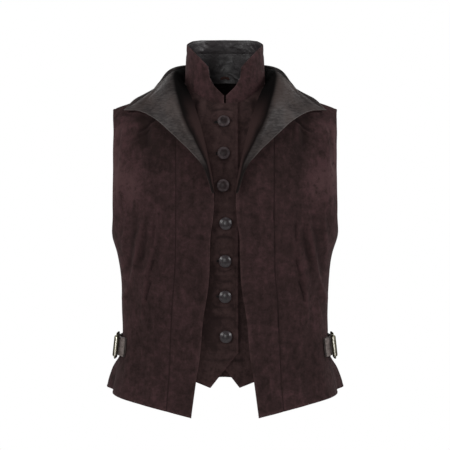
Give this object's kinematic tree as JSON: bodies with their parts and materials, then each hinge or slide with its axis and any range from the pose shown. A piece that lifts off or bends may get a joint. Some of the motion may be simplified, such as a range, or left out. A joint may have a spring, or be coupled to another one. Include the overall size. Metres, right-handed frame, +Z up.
{
  "type": "suede waistcoat with stand and spread collars",
  "caption": "Hollow worn waistcoat of dark brown suede: open outer fronts over a buttoned inner front, stand collar, wide pointed collar and buckled side vents.",
  "frame": {"origin": "midway between the shoulder seams, where the wearer carries the waistcoat", "axes": "+Z up, the front faces -Y, the wearer's left at +X"},
  "size_m": [0.4328, 0.2511, 0.6639],
  "materials": {
    "suede": "napped suede, dark brown",
    "inner_suede": "napped suede, darker brown",
    "facing_leather": "smooth grey-black leather, slightly shiny",
    "strap_leather": "smooth grey-brown strap leather",
    "buckle_metal": "aged pale brass",
    "button": "smooth dark dome"
  },
  "bodies": {
    "root": {"back": "suede", "front_right_centre": "suede", "front_right_side": "suede", "front_left_centre": "suede", "front_left_side": "suede", "inner_front_right": "inner_suede", "inner_front_left": "inner_suede", "stand_collar": "suede", "stand_facing": "facing_leather", "stand_facing_band": "facing_leather", "hang_loop": "strap_leather", "collar": "suede", "collar_facing": "facing_leather", "button_1": "button", "button_2": "button", "button_3": "button", "button_4": "button", "button_5": "button", "button_6": "button", "button_7": "button", "buckle_tab_right": "strap_leather", "buckle_tab_left": "strap_leather", "side_strap_right": "strap_leather", "side_strap_left": "strap_leather", "buckle_right": "buckle_metal", "buckle_left": "buckle_metal"}
  },
  "joints": []
}
